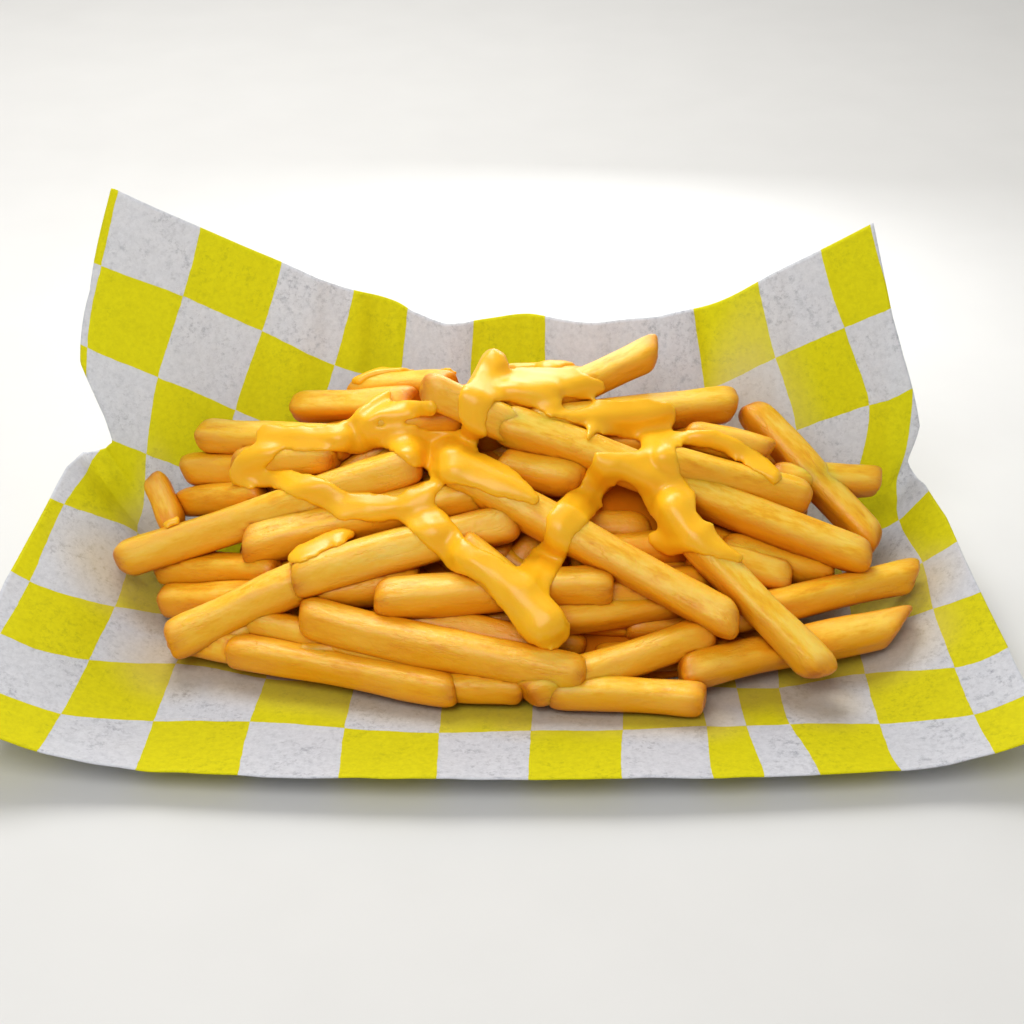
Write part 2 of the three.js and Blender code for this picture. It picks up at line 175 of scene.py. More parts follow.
# How far a slanted cut and a browned end reach, and how high the skin rises
SLANT_REACH = 9
END_REACH = 7.0
STREAK_HEIGHT = 1.3
BLISTER_HEIGHT = 0.5
# Lines that feel for the sky: their reach, number and turn in radians
OPEN_REACH = 50
SKY_LINES = 18
GOLDEN_TURN = 2.39996
# How obliquely some ends are cut, by fry number: at the left end and at the right end
CUTS = {51: (0.2, 0.6), 39: (0.1, 0.5), 15: (0.1, 0.6), 14: (0.2, 1.1), 11: (0.1, 0.1), 31: (0.1, 0.0)}
# How round some ends are, likewise
ROUND_ENDS = {
    11: (0.3, 0.1), 14: (0.3, 0.0), 15: (0.3, 0.2), 31: (0.5, 0.0), 40: (0.9, 0.6), 43: (1.0, 0.4),
    50: (0.8, 0.7), 51: (0.3, 0.3), 52: (0.6, 0.9), 53: (0.6, 0.7), 54: (0.9, 0.5), 55: (0.5, 0.4),
}

# The photograph's viewpoint, its angle in degrees, its focal length and middle in 1/1024 of the picture
EYE = (0.0, -410.8, 306.2)
LOOK_DOWN = 33.0
FOCAL = 1750.0
PICTURE_MIDDLE = 512.0
SENSOR = 36.0
LENS = 61.52

# The studio, in metres: each lamp's name, place, aim, size, power and colour
FLOOR_REACH = 2.5
FLOOR_BELOW = 0.0002
WARM_WHITE = (1.0, 0.98, 0.95)
LAMPS = [
    ("window", (-0.2, 0.5, 0.75), (0, 0, 0.03), 0.5, 6.0, WARM_WHITE),
    ("fill", (-0.22, -0.5, 0.8), (0, 0, 0.03), 0.6, 3.8, (1, 1, 1)),
    ("glow through the paper", (0.04, 0.28, 0.16), (0.02, 0.07, 0.06), 0.22, 0.4, (1, 1, 1)),
]

# Cheese sauce as seen from that viewpoint: column, row and width at each point of a strand, in 1/1024
# of the picture
STRANDS = [
    [(268, 437, 22), (300, 438, 25), (330, 440, 24), (355, 440, 24), (380, 436, 20), (400, 438, 28),
     (420, 446, 40), (440, 449, 38), (462, 439, 26), (474, 436, 24)],
    [(318, 428, 3), (340, 428, 3), (352, 423, 4), (362, 412, 7), (374, 402, 8), (388, 394, 6)],
    [(368, 421, 4), (380, 415, 11), (396, 411, 16), (412, 409, 16), (430, 408, 12)],
    [(499, 350, 30), (498, 360, 32), (492, 372, 30), (484, 386, 32), (476, 402, 31), (473, 416, 26),
     (470, 430, 20), (468, 440, 22)],
    [(492, 390, 16), (512, 391, 20), (532, 396, 22), (552, 405, 18)],
    [(520, 376, 14), (545, 380, 22), (572, 384, 28), (592, 389, 20)],
    [(550, 421, 12), (575, 425, 24), (600, 423, 38), (625, 420, 38), (648, 417, 32), (662, 415, 26)],
    [(604, 457, 18), (625, 459, 18), (650, 452, 28), (668, 462, 22), (671, 468, 14)],
    [(640, 444, 22), (665, 442, 16), (690, 438, 13), (712, 439, 15), (730, 447, 17), (747, 459, 18),
     (760, 467, 17), (774, 477, 12)],
    [(608, 464, 30), (600, 480, 30), (592, 496, 30), (575, 510, 34), (562, 522, 31), (558, 535, 26),
     (555, 548, 27), (545, 560, 32), (536, 575, 34), (528, 590, 34)],
    [(438, 471, 16), (455, 470, 26), (480, 471, 32), (500, 480, 30), (522, 491, 18), (534, 500, 8)],
    [(276, 446, 14), (262, 455, 20), (250, 464, 27), (243, 474, 24), (250, 482, 14)],
    [(258, 479, 13), (285, 480, 18), (305, 487, 25), (325, 494, 25), (345, 506, 25), (370, 508, 25),
     (395, 508, 21), (412, 509, 33), (427, 521, 36), (441, 536, 35), (457, 555, 29), (475, 563, 26),
     (496, 574, 29), (512, 590, 36), (526, 606, 40), (539, 621, 46), (550, 632, 36)],
    [(412, 502, 24), (427, 493, 18), (438, 486, 9)],
    [(350, 535, 7), (338, 538, 12), (320, 545, 13), (303, 553, 14), (293, 558, 10)],
    [(167, 524, 7), (177, 521, 7)],
    [(657, 540, 15), (672, 545, 18), (690, 542, 20)],
    [(626, 466, 20), (650, 480, 28), (668, 500, 42), (680, 514, 42), (692, 529, 38), (704, 541, 26),
     (720, 550, 15), (738, 558, 7)],
    [(650, 478, 20), (675, 488, 18), (690, 497, 12)],
]

# Openings that stay free between the strands, read the same way
OPENINGS = [
    [(598, 443, 15), (615, 444, 14), (633, 446, 11)],
    [(616, 500, 26), (634, 514, 26), (650, 526, 10)],
    [(281, 463, 14), (296, 461, 12), (309, 458, 6)],
    [(487, 446, 16), (505, 450, 10)],
    [(420, 426, 3), (440, 425, 9), (456, 424, 9)],
    [(514, 512, 10), (530, 530, 22), (516, 548, 24), (495, 545, 14)],
    [(684, 459, 12), (700, 461, 20), (735, 474, 22), (760, 486, 16)],
]

# Fries that the sauce stays off, by number, with the picture columns it stays off between
BARE = [(55, 0, 452), (55, 494, 586), (55, 698, 1024), (50, 604, 1024), (7, 0, 1024)]

# Sauce over the crest and down the far side, seen from above: x, y and width
FAR_STRANDS = [
    [(-17, 45, 7), (-22, 50, 8), (-25, 55, 5)],
    [(-20, 49, 6), (-35, 51, 6), (-46, 49, 4)],
    [(11, 45, 7), (14, 50, 8), (21, 55, 5)],
    [(12, 49, 6), (0, 50, 6), (-8, 52, 4)],
]
# Thickness, what each millimetre inwards adds, the rounded edge's width and the strands' spread
SAUCE_THICK = 1.0
SAUCE_SWELL = 0.2
SAUCE_EDGE = 2.2
SAUCE_SPREAD = 0.8
SAUCE_SINK = 1.2
SAUCE_VOXEL = 0.6
# How much the skin sags in each step, and the steps
SAUCE_SAG = 0.016
SAUCE_SETTLES = 90
# The heap's distance from the viewpoint, and where the picture holds sauce
SIGHT = 505.0
SAUCE_COLUMNS = (150, 800)
SAUCE_ROWS = (330, 664)
SAUCE_STEP = 2.0
FAR_CELL = 0.6


def mix(a, b, t):
    return a + (b - a) * t


def smooth(x, low=0.0, high=1.0):
    t = np.clip((x - low) / (high - low), 0, 1)
    return t * t * (3 - 2 * t)


def line_distance(x, y, start, stop):
    """How far places lie from a line between two points, and the share of the line at the nearest point."""
    dx, dy = stop[0] - start[0], stop[1] - start[1]
    t = np.clip(((x - start[0]) * dx + (y - start[1]) * dy) / (dx * dx + dy * dy), 0, 1)
    return np.hypot(x - start[0] - dx * t, y - start[1] - dy * t), t


def draw(i, k):
    """A repeatable draw between 0 and 1 for each pair of whole numbers."""
    s = math.sin(i * 12.9898 + k * 78.233) * 43758.5453
    return s - math.floor(s)


class Field:
    """A node's output that takes part in Python arithmetic."""

    def __init__(self, graph, socket):
        self.graph = graph
        self.socket = socket

    def _math(self, operation, *values):
        return self.graph.node("ShaderNodeMath", {"operation": operation}, dict(enumerate(values)))

    def __add__(self, other):
        return self._math("ADD", self, other)

    def __radd__(self, other):
        return self._math("ADD", other, self)

    def __sub__(self, other):
        return self._math("SUBTRACT", self, other)

    def __rsub__(self, other):
        return self._math("SUBTRACT", other, self)

    def __mul__(self, other):
        return self._math("MULTIPLY", self, other)

    def __rmul__(self, other):
        return self._math("MULTIPLY", other, self)

    def __truediv__(self, other):
        return self._math("DIVIDE", self, other)

    def least(self, other):
        return self._math("MINIMUM", self, other)

    def most(self, other):
        return self._math("MAXIMUM", self, other)

    def near(self, value, width):
        """1 at a value, falling to 0 at a distance of width from it."""
        return (1.0 - self._math("ABSOLUTE", self - value) / width).most(0.0)

    def between(self, low, high):
        """0 below low, 1 above high, smooth in between."""
        values = {"Value": self, "From Min": low, "From Max": high}
        return self.graph.node("ShaderNodeMapRange", {"interpolation_type": "SMOOTHSTEP"}, values)


class Graph:
    """A node tree written node by node."""

    def __init__(self, tree):
        self.tree = tree

    def put(self, socket, value):
        if isinstance(value, Field):
            self.tree.links.new(value.socket, socket)
        elif isinstance(value, tuple) and len(value) < len(socket.default_value):
            socket.default_value = (*value, 1.0)
        else:
            socket.default_value = value

    def node(self, kind, settings=None, values=None, out=0):
        """One node: its settings first, then the values or links of its sockets."""
        made = self.tree.nodes.new(kind)
        for key, value in (settings or {}).items():
            if key == "stops":
                while len(made.color_ramp.elements) < len(value):
                    made.color_ramp.elements.new(0.5)
                for stop, (place, colour) in zip(made.color_ramp.elements, value):
                    stop.position = place
                    stop.color = (*colour, 1.0)
            else:
                setattr(made, key, value)
        for key, value in (values or {}).items():
            self.put(made.inputs[key], value)
        return Field(self, made.outputs[out])

    def vector(self, operation, *values, out=0):
        return self.node("ShaderNodeVectorMath", {"operation": operation}, dict(enumerate(values)), out)

    def noise(self, vector, scale, detail=3.0, rough=0.5):
        values = {"Vector": vector, "Scale": scale, "Detail": detail, "Roughness": rough}
        return self.node("ShaderNodeTexNoise", {}, values)


class Paint(Graph):
    """A material with its Principled shader and the nodes that feed it."""

    def __init__(self, name):
        self.material = bpy.data.materials.new(name)
        self.material.use_nodes = True
        super().__init__(self.material.node_tree)
        self.shader = self.tree.nodes["Principled BSDF"]

    def attribute(self, name):
        return self.node("ShaderNodeAttribute", {"attribute_name": name}, out="Fac")

    def place(self):
        return self.node("ShaderNodeTexCoord", out="Object")

    def blend(self, a, b, share):
        """Colour a turned into colour b by a share between 0 and 1."""
        made = self.node("ShaderNodeMix", {"data_type": "RGBA"}, {"Factor": share}, out=2)
        self.put(made.socket.node.inputs[6], a)
        self.put(made.socket.node.inputs[7], b)
        return made

    def bump(self, height, strength, distance):
        values = {"Strength": strength, "Distance": distance, "Height": height}
        return self.node("ShaderNodeBump", {}, values)

    def finish(self, **sockets):
        """Sets the shader's sockets, named with _ for a space."""
        for name, value in sockets.items():
            self.put(self.shader.inputs[name.replace("_", " ")], value)
        return self.material


def fried_potato():
    """Golden faces, browner along the corners and at the cut ends, with painted shade, deep amber where
    little sky is seen, and a paler painted highlight on open tops.
    """
    p = Paint("fried potato")
    along = p.node("ShaderNodeAttribute", {"attribute_name": "streak"}, out="Vector")
    tone = p.attribute("tone")
    corner = p.attribute("corner")
    end = p.attribute("end")
    sky = p.attribute("open")
    grain = p.vector("MULTIPLY", along, (1.5, 1.0, 1.0))
    streaks = p.noise(grain, 0.8, 5.0, 0.65)
    patches = p.noise(grain, 0.2, 4.0, 0.62)
    fibres = p.noise(along, 0.42, 3.0, 0.5).near(0.5, 0.028) * p.noise(grain, 0.3, 1.0).between(0.42, 0.6)
    blisters = p.noise(p.place(), 700.0, 3.0, 0.6)
    dents = p.noise(p.place(), 210.0, 2.0, 0.5)
    body = p.node("ShaderNodeValToRGB", {"stops": [
        (0.3, (0.82, 0.36, 0.008)),
        (0.46, (0.94, 0.52, 0.022)),
        (0.6, (0.99, 0.61, 0.050)),
        (0.74, (1.0, 0.71, 0.12)),
    ]}, {"Fac": streaks * 0.22 + patches * 0.78 + tone * 0.16 - 0.08})
    rim = corner * (0.05 + patches.between(0.45, 0.65) * 0.5)
    rim = rim.most(end * (0.6 + patches.between(0.4, 0.6) * 0.4))
    browned = (rim + fibres * 0.14).least(0.9)
    crust = p.blend((0.80, 0.29, 0.006), (0.56, 0.14, 0.002), end * patches.between(0.34, 0.6))
    # Painted shade, deep amber to orange where little sky is seen, and a painted highlight, paler on open
    # tops; skin mixes the two by openness
    shaded = p.blend((0.55, 0.15, 0.001), p.blend(body, (0.90, 0.36, 0.004), 0.85), sky.between(0.0, 0.36))
    lit = p.blend(body, (1.0, 0.73, 0.16), sky.between(0.6, 0.95) * patches.between(0.4, 0.62) * 0.45)
    skin = p.blend(shaded, lit, sky.between(0.34, 0.88))
    colour = p.blend(skin, crust, browned * sky.between(0.02, 0.3))
    height = streaks * 0.22 + blisters * 0.2 + dents * 0.5 - fibres * 0.15
    return p.finish(
        Base_Color=colour,
        Roughness=0.3 + 0.16 * patches,
        Normal=p.bump(height, 0.6, 0.0009),
        Specular_IOR_Level=0.4,
        Subsurface_Weight=0.35,
        Subsurface_Radius=(0.003, 0.001, 0.0002),
        Subsurface_Scale=1.0,
    )


def shaded_deep_potato():
    """The fries deep in the heap, which little light reaches, coloured dark amber as painted shade."""
    p = Paint("deep potato")
    patches = p.noise(p.place(), 160.0, 3.0, 0.5)
    # Painted shade: a dark amber for the heap's inside
    colour = p.blend((0.52, 0.12, 0.001), (0.68, 0.20, 0.002), patches)
    return p.finish(
        Base_Color=colour,
        Roughness=0.7,
        Specular_IOR_Level=0.05,
        Normal=p.bump(patches, 0.5, 0.001),
    )


def cheese_sauce():
    """Smooth orange-yellow sauce, wet and a little cloudy, with painted shade, more orange where little sky
    is seen.
    """
    p = Paint("cheese sauce")
    sky = p.attribute("open")
    cloud = p.noise(p.place(), 120.0, 2.0, 0.5)
    fine = p.noise(p.place(), 420.0, 2.0, 0.5)
    colour = p.blend((1.0, 0.47, 0.006), (1.0, 0.54, 0.014), cloud)
    # Painted shade: more orange where little sky is seen
    shaded = p.blend((1.0, 0.43, 0.003), colour, sky.between(0.04, 0.5))
    return p.finish(
        Base_Color=shaded,
        Roughness=0.3 + 0.1 * cloud,
        Normal=p.bump(cloud * 0.7 + fine * 0.3, 0.15, 0.0006),
        Subsurface_Weight=0.3,
        Subsurface_Radius=(0.0015, 0.0008, 0.0003),
        Subsurface_Scale=1.0,
        Specular_IOR_Level=0.35,
        Coat_Weight=0.15,
        Coat_Roughness=0.2,
    )


def printed_paper():
    """Greaseproof paper with fibres and specks, printed with yellow checks, darker and warmer near the low
    fries: partly a grease stain, partly painted warm bounce light.
    """
    p = Paint("printed paper")
    print_place = p.node("ShaderNodeUVMap", {"uv_map": "print"})
    wobble = p.noise(p.place(), 260.0, 2.0, 0.5)
    wobble = p.node("ShaderNodeCombineXYZ", {}, {0: wobble - 0.5, 1: wobble - 0.5, 2: 0.0})
    shift = p.vector("MULTIPLY_ADD", wobble, (0.025, 0.025, 0.0), print_place)
    checks = p.node("ShaderNodeTexChecker", {}, {
        "Vector": shift, "Color1": (1.0, 1.0, 1.0), "Color2": (0.0, 0.0, 0.0), "Scale": 1.0,
    }, out=1)
    fibre = p.noise(p.place(), 620.0, 6.0, 0.7)
    cloud = p.noise(p.place(), 70.0, 3.0, 0.6)
    grain = p.noise(p.place(), 520.0, 6.0, 0.78)
    specks = grain.between(0.47, 0.68) * (0.3 + 0.7 * cloud.between(0.4, 0.64))
    soft = fibre.between(0.32, 0.68)
    white = p.blend((0.58, 0.595, 0.65), (0.495, 0.51, 0.565), soft)
    white = p.blend(white, (0.24, 0.25, 0.30), specks * 0.85)
    yellow = p.blend((0.63, 0.57, 0.002), (0.56, 0.50, 0.0015), soft)
    yellow = p.blend(yellow, (0.36, 0.33, 0.002), specks * 0.75)
    printed = p.blend(yellow, white, checks)
    oil = p.attribute("oil")
    # Near the low fries: partly a grease stain, partly painted warm light bounced from the fries
    stained_and_warmed = p.blend(printed, (0.60, 0.42, 0.10), oil * (0.25 + 0.3 * cloud))
    return p.finish(
        Base_Color=stained_and_warmed,
        Roughness=0.75 - 0.25 * oil,
        Normal=p.bump(cloud * 0.6 + fibre * 0.4, 0.12, 0.0005),
        Specular_IOR_Level=0.12,
        Subsurface_Weight=0.35,
        Subsurface_Radius=(0.003, 0.003, 0.003),
        Subsurface_Scale=1.0,
    )


def plain_floor():
    """Pale matt floor."""
    p = Paint("pale floor")
    grain = p.noise(p.place(), 30.0, 3.0, 0.5)
    return p.finish(Base_Color=p.blend((0.66, 0.66, 0.65), (0.70, 0.70, 0.69), grain), Roughness=0.8)


def placed(name, data):
    """A new object in the scene."""
    made = bpy.data.objects.new(name, data)
    bpy.context.scene.collection.objects.link(made)
    return made


def mesh_object(name, points, edges, faces):
    """A mesh piece from points in millimetres, centred as the part is."""
    mesh = bpy.data.meshes.new(name)
    mesh.from_pydata([tuple(q) for q in (np.asarray(points) + CENTRE) * MM], edges, faces)
    mesh.validate()
    mesh.update()
    return placed(name, mesh)


def store_values(mesh, name, values):
    """Stores one number on each point."""
    mesh.attributes.new(name, "FLOAT", "POINT").data.foreach_set("value", values)


def plain_mesh(piece):
    """The piece with its modifiers made part of its mesh."""
    graph = bpy.context.evaluated_depsgraph_get()
    mesh = bpy.data.meshes.new_from_object(piece.evaluated_get(graph))
    piece.modifiers.clear()
    piece.data = mesh
    return piece


def shade_smooth(piece):
    piece.data.polygons.foreach_set("use_smooth", [True] * len(piece.data.polygons))


def own_piece(piece, node):
    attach(piece, "root")
    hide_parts(node)
    return piece


def sheet_points(across, along):
    """The sheet's underside, from places across it in checks and along it from 0 to 1."""
    away = np.abs(across)
    over = np.clip(away - SIDES_FROM, 0, None)
    front_x = CHECK * across + 3 - 1.5 * np.clip(across - CORNERS_FROM, 0, None)
    front_y = FRONT_Y + FRONT_BOW * (front_x / 130) ** 2
    front = np.stack([front_x, front_y, FRONT_LIFT + 4.6 * over ** 1.6], -1)
    beyond = np.clip(away - CORNERS_FROM, 0, None)
    side = np.clip(away - SIDES_FROM, 0, 1)
    foot_x = np.sign(across) * (FOOT_PITCH * np.minimum(away, SIDES_FROM) + 21 * side + 11 * beyond) + 2
    foot_y = FOOT_Y - 14 * smooth(away, 1.5, 4.2) + 9 * beyond
    foot = np.stack([foot_x, foot_y, 15 * side ** 1.4 + 15 * beyond], -1)
    top_x = TOP_PITCH * across + 9 - 5 * np.clip(across - SIDES_FROM, 0, None)
    ears = LEFT_EAR_RISE * np.clip((-top_x - 20) / 95, 0, None) ** 1.25
    ears = ears + RIGHT_EAR_RISE * np.clip((top_x - 45) / 60, 0, None) ** 1.2
    top = np.stack([top_x, BACK_Y - 10 * (top_x / 110) ** 2, WALL_HEIGHT + ears], -1)
    floor_length = np.linalg.norm(foot - front, axis=-1)
    wall_length = np.linalg.norm(top - foot, axis=-1)
    bend = FLOOR_BEND - (FLOOR_BEND - CORNER_BEND) * smooth(away, 3.6, 5.2)
    s = along * (floor_length + wall_length)
    on_floor_way = (foot - front) / floor_length[..., None]
    up_wall_way = (top - foot) / wall_length[..., None]
    t = np.clip((s - floor_length + bend) / (2 * bend), 0, 1)
    on_floor = front + on_floor_way * s[..., None]
    on_wall = foot + up_wall_way * (s - floor_length)[..., None]
    on_bend = foot - on_floor_way * (bend * (1 - t) ** 2)[..., None]
    on_bend = on_bend + up_wall_way * (bend * t ** 2)[..., None]
    before = (s < floor_length - bend)[..., None]
    after = (s > floor_length + bend)[..., None]
    p = np.where(before, on_floor, np.where(after, on_wall, on_bend))
    share = np.clip(s / floor_length, 0, 1)
    near_front = np.clip((-30 - p[..., 1]) / 46, 0, 1)
    straight = mix(front[..., 2], foot[..., 2], share)
    sagged = front[..., 2] * near_front ** 1.6 + foot[..., 2] * share ** 1.5
    rising = 5.6 * over ** 1.7 * (1 - near_front) * (1 - share)
    p[..., 2] += (sagged + rising - straight) * (1 - t)
    up = np.clip((s - floor_length) / wall_length, 0, 1)
    belly = np.sin(np.pi * up) * smooth(away, 4.8, 6)
    p[..., 0] += np.where(across < 0, -8, 2.5) * belly
    waved = up * (1 - smooth(away, 2.2, 4))
    p[..., 1] += WAVE_DEPTH * waved * np.sin(p[..., 0] / WAVE_PACE + 1)
    return p, s, floor_length, wall_length, bend


def print_shift(across, along):
    """The table's shifts spread smoothly over the sheet, as a thin plate bent through them."""
    table = np.array(PRINT_SHIFT)
    known = np.stack([table[:, 0], table[:, 1] * PRINT_ROWS], -1)

    def pull(squared):
        return 0.5 * squared * np.log(squared + 1e-9)

    count = len(table)
    system = np.zeros((count + 3, count + 3))
    system[:count, :count] = pull(((known[:, None] - known[None]) ** 2).sum(-1)) + 0.02 * np.eye(count)
    system[:count, count:] = np.column_stack([np.ones(count), known])
    system[count:, :count] = system[:count, count:].T
    shifts = []
    for values in (table[:, 2], table[:, 3]):
        weights = np.linalg.solve(system, np.concatenate([values, np.zeros(3)]))
        shift = weights[count] + weights[count + 1] * across + weights[count + 2] * along * PRINT_ROWS
        for (x, y), weight in zip(known, weights):
            shift = shift + weight * pull((across - x) ** 2 + (along * PRINT_ROWS - y) ** 2)
        shifts.append(np.clip(shift, -1.1, 1.1))
    return shifts


def print_places(across, along, s, floor_length, wall_length, bend):
    """Column and row of the printed checks, without the column that the pleat swallows."""
    from_front = s / FRONT_ROW
    from_top = PRINT_ROWS - (floor_length + wall_length - s) / BACK_ROW
    row = mix(from_front, from_top, smooth(s - floor_length, -bend * 1.6, bend * 1.2))
    shift = print_shift(across, along)
    return across + 6 - shift[0], np.clip(row - shift[1], 0.02, PRINT_ROWS - 0.02)


def pleat_jump(x, along):
    """The columns that the pleat has swallowed: gathered over a stretch of floor, at once on the wall."""
    low = mix(50, 33.5, smooth(along, 0.2, 0.8))
    high = mix(72, 34.5, smooth(along, 0.2, 0.8))
    return np.clip((x - low) / (high - low), 0, 1)


def grid_noise(shape, cells, seed):
    """Smooth random heights between -1 and 1 over a grid, from a coarse grid of draws."""
    rng = np.random.default_rng(seed)
    coarse = rng.uniform(-1, 1, (cells[0] + 4, cells[1] + 4))
    v, u = (np.linspace(0, cells[k], shape[k]) for k in (0, 1))
    v, u = np.meshgrid(v, u, indexing="ij")
    r, c = v.astype(int), u.astype(int)
    fv, fu = smooth(v - r), smooth(u - c)
    top = mix(coarse[r, c], coarse[r, c + 1], fu)
    low = mix(coarse[r + 1, c], coarse[r + 1, c + 1], fu)
    return mix(top, low, fv)


def make_sheet(fry_lines):
    steps = [np.linspace(0, 1, count + 1) for count in (SHEET_ROWS, SHEET_COLUMNS)]
    along, share = np.meshgrid(*steps, indexing="ij")
    left, right = (np.interp(along, *zip(*edge)) for edge in (LEFT_EDGE, RIGHT_EDGE))
    across = mix(left, right, share)
    p, s, floor_length, wall_length, bend = sheet_points(across, along)
    column, row = print_places(across, along, s, floor_length, wall_length, bend)
    jump = pleat_jump(p[..., 0], along)
    normal = np.cross(np.gradient(p, axis=1), np.gradient(p, axis=0))
    normal /= np.linalg.norm(normal, axis=-1)[..., None]
    # Soft crumples, weaker under the heap, where its weight presses the sheet flat
    x, y = p[..., 0], p[..., 1]
    loaded = smooth(95 - np.abs(x), 0, 14) * smooth(y, -46, -34) * smooth(42 - y, 0, 12)
    crumple = 0.55 * grid_noise(x.shape, (9, 13), 3) + 0.22 * grid_noise(x.shape, (26, 38), 4)
    crumple = np.maximum(crumple * (1 - 0.85 * loaded), -0.35)
    # The wall's upright folds, towards the fries
    upright = smooth(s - floor_length, 2, 20) * (1 - 0.75 * smooth(np.abs(across), 2.6, 4))
    folds = 1.0 + grid_noise(x.shape, (3, 26), 5) + 0.5 * grid_noise(x.shape, (5, 56), 6)
    crumple = crumple + upright * np.maximum(folds, 0) * 1.4
    for (ax, ay), (bx, by), depth, width in CREASES:
        ends = (ax, ay * PRINT_ROWS), (bx, by * PRINT_ROWS)
        off, t = line_distance(across, along * PRINT_ROWS, *ends)
        crumple = crumple - depth * (1 - 0.6 * t) * np.clip(1 - off * CHECK / width, 0, 1) ** 1.3
    p = p + normal * (PAPER_MIDDLE + crumple)[..., None]
    low, high = (np.array(corner) / MM - CENTRE for corner in cad_box)
    p = np.clip(p, low + PAPER_THICK, high - PAPER_THICK)
    oil = np.zeros(p.shape[:2])
    # Where the low fries lie: a grease stain and painted warm bounce light
    for ax, ay, az, bx, by, bz, thick in fry_lines:
        if min(az, bz) <= OIL_AND_BOUNCE_BELOW:
            off, t = line_distance(p[..., 0], p[..., 1], (ax, ay), (bx, by))
            oil = np.maximum(oil, 1 - smooth(off, thick * 0.4, thick * 1.9))
    number = np.arange(oil.size).reshape(oil.shape)
    corners = [number[:-1, :-1], number[:-1, 1:], number[1:, 1:], number[1:, :-1]]
    corners = np.stack(corners, -1).reshape(-1, 4)
    piece = mesh_object("checked_paper_sheet", p.reshape(-1, 3), [], corners.tolist())
    piece.data.materials.append(printed_paper())
    layer = piece.data.uv_layers.new(name="print")
    # On the wall a face lies wholly on one side of the pleat, so that its print has a clean seam
    middle = jump.reshape(-1)[corners].mean(1, keepdims=True)
    sharp = (along.reshape(-1)[corners].mean(1, keepdims=True) > 0.6)
    gone = np.where(sharp, np.round(middle), jump.reshape(-1)[corners])
    places = column.reshape(-1)[corners]
    beside = sharp & (np.abs(places.mean(1, keepdims=True) - PLEAT_COLUMN) < 0.3)
    after = np.maximum(places, PLEAT_COLUMN + 0.03)
    kept = np.where(gone > 0.5, after, np.minimum(places, PLEAT_COLUMN - 0.03))
    uv = np.stack([np.where(beside, kept, places) + gone, row.reshape(-1)[corners]], -1)
    layer.data.foreach_set("uv", uv.ravel())
    store_values(piece.data, "oil", oil.ravel())
    thickness = piece.modifiers.new("thickness", "SOLIDIFY")
    thickness.thickness = PAPER_THICK * MM
    thickness.offset = 0.0
    shade_smooth(piece)
    return own_piece(plain_mesh(piece), "paper_sheet")


def mound_height(x, y):
    height = MOUND_HEIGHT * np.clip(1 - np.abs(x / MOUND_HALF_WIDTH) ** 3, 0, None)
    front = MOUND_FRONT + 20 * np.abs(x / MOUND_HALF_WIDTH) ** 2.5
    rising = height * np.clip((y - front) / (MOUND_CREST - front), 0, 1)
    falling = height * (1 - 0.3 * ((y - MOUND_CREST) / (MOUND_BACK - MOUND_CREST)) ** 2)
    return np.where(y < MOUND_CREST, rising, falling)


def make_mound():
    """The heap's inside, a mound in dark painted shade that the gaps between the fries end on."""
    segments, rings = 72, 18
    points, faces = [], []
    for k in range(rings + 1):
        spread = 1 - k / (rings + 1)
        for i in range(segments):
            a = i / segments * 2 * math.pi
            c, s = math.cos(a), math.sin(a)
            reach = CORE_BACK if s > 0 else CORE_FRONT
            x = CORE_HALF_WIDTH * math.copysign(abs(c) ** 0.8, c) * spread
            y = CORE_MIDDLE + reach * math.copysign(abs(s) ** 0.8, s) * spread
            points.append((x, y, max(MOUND_BASE + 1.0, float(mound_height(x, y)) - CORE_INSET)))
    base = [(x, min(y, CORE_BASE_BACK), MOUND_BASE) for x, y, z in points[:segments]]
    points = base + points
    for k in range(rings + 1):
        for i in range(segments):
            a, b = k * segments + i, k * segments + (i + 1) % segments
            faces.append((a, b, b + segments, a + segments))
    faces.append(tuple(range(segments - 1, -1, -1)))
    faces.append(tuple(range((rings + 1) * segments, (rings + 2) * segments)))
    piece = mesh_object("heap_core", points, [], faces)
    piece.data.materials.append(shaded_deep_potato())
    shade_smooth(piece)
    return own_piece(piece, "fries_heap")


def back_fries():
    """The far side's fries lie on the mound at many angles."""
    lines = []
    for i in range(BACK_FRIES):
        x = mix(-60, 62, i / (BACK_FRIES - 1))
        y = 37 + 3 * draw(i, 21)
        turn = (draw(i, 22) - 0.5) * 0.7
        half = BACK_LENGTH / 2 * mix(0.8, 1.1, draw(i, 23))
        z = float(mound_height(x, y)) + mix(1, 5, draw(i, 24))
        dx, dy, drop = math.cos(turn) * half, math.sin(turn) * half * 0.6, 5 * (x / 80)
        lines.append((x - dx, y - dy, z + drop, x + dx, y + dy, z - drop, BACK_THICK))
    return lines


def hidden_fries():
    """Fries under the showing ones, sunk in the mound's skin, so that a gap shows a fry and not a hole."""
    rng = np.random.default_rng(11)
    lines = []
    for i in range(HIDDEN_FRIES):
        x = rng.uniform(-76, 78)
        y = rng.uniform(-24, 34)
        turn = rng.normal(0, 0.35)
        half = rng.uniform(16, 26)
        dx, dy = math.cos(turn) * half, math.sin(turn) * half
        ends = []
        for side in (-1, 1):
            ex, ey = x + dx * side, y + dy * side
            ends.append((ex, ey, max(7.0, float(mound_height(ex, ey)) - rng.uniform(0.5, 3.5))))
        lines.append((*ends[0], *ends[1], rng.uniform(8.6, 10)))
    return lines


